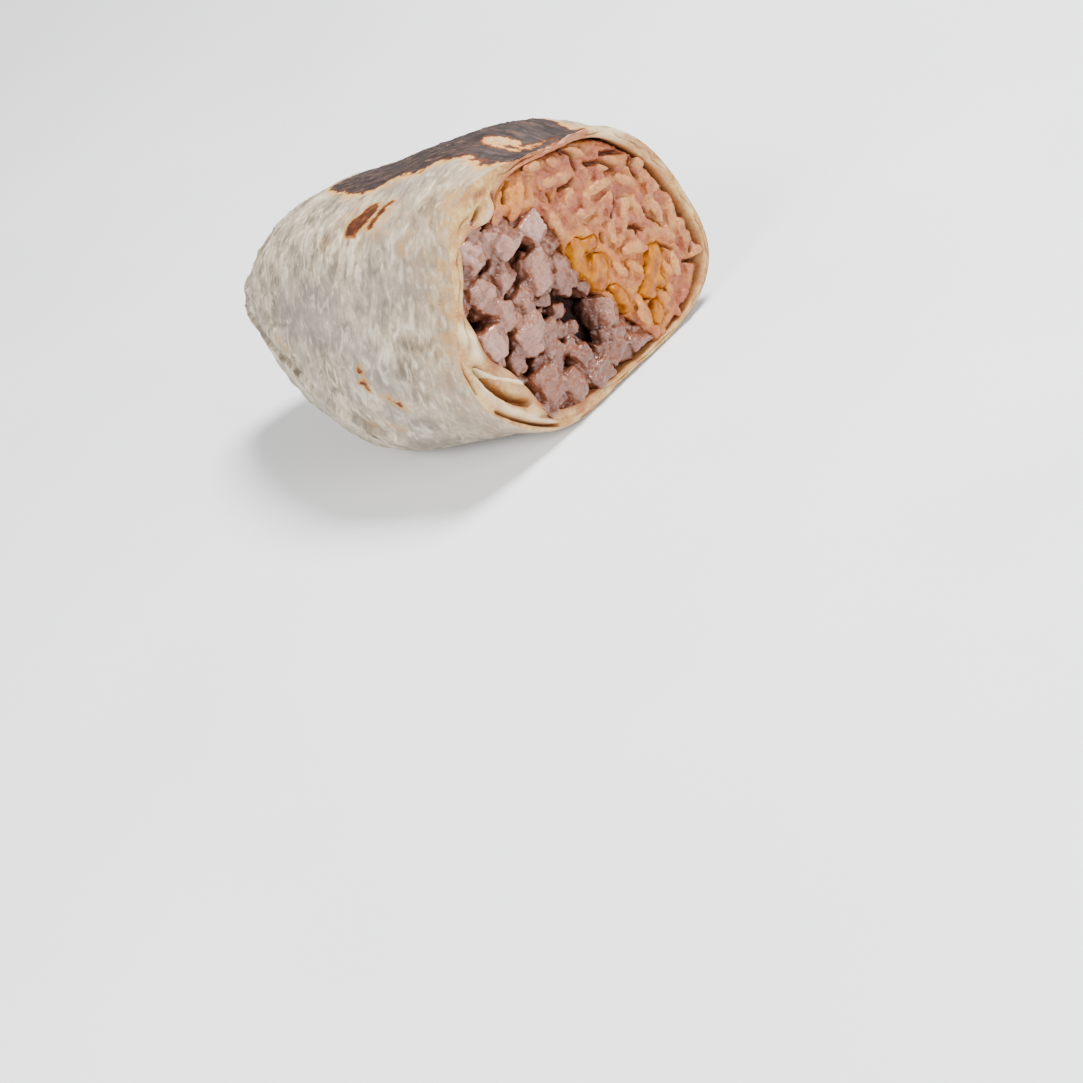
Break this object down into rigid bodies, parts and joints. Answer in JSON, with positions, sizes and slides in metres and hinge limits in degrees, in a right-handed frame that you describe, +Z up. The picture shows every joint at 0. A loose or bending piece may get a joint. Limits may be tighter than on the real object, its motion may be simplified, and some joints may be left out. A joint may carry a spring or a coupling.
{
  "type": "burrito half",
  "caption": "Half of a griddled flour-tortilla burrito, lying on its flat side with one folded, tapered end and one slanted cut face showing rice, diced steak and melted cheese.",
  "frame": {"origin": "on the resting plane, below the middle of the bounding box", "axes": "+X along the roll from the folded end towards the cut face, +Y across the roll to the side where the cut reaches furthest, +Z up from the flat side that it rests on"},
  "size_m": [0.108, 0.0684, 0.0608],
  "materials": {
    "tortilla": "matt, dry, with brown griddle marks",
    "steak": "moist",
    "rice": "moist, coated in sauce",
    "cheese": "glossy, melted"
  },
  "bodies": {
    "root": {"tortilla": "tortilla", "steak": "steak", "rice": "rice", "cheese": "cheese"}
  },
  "joints": []
}
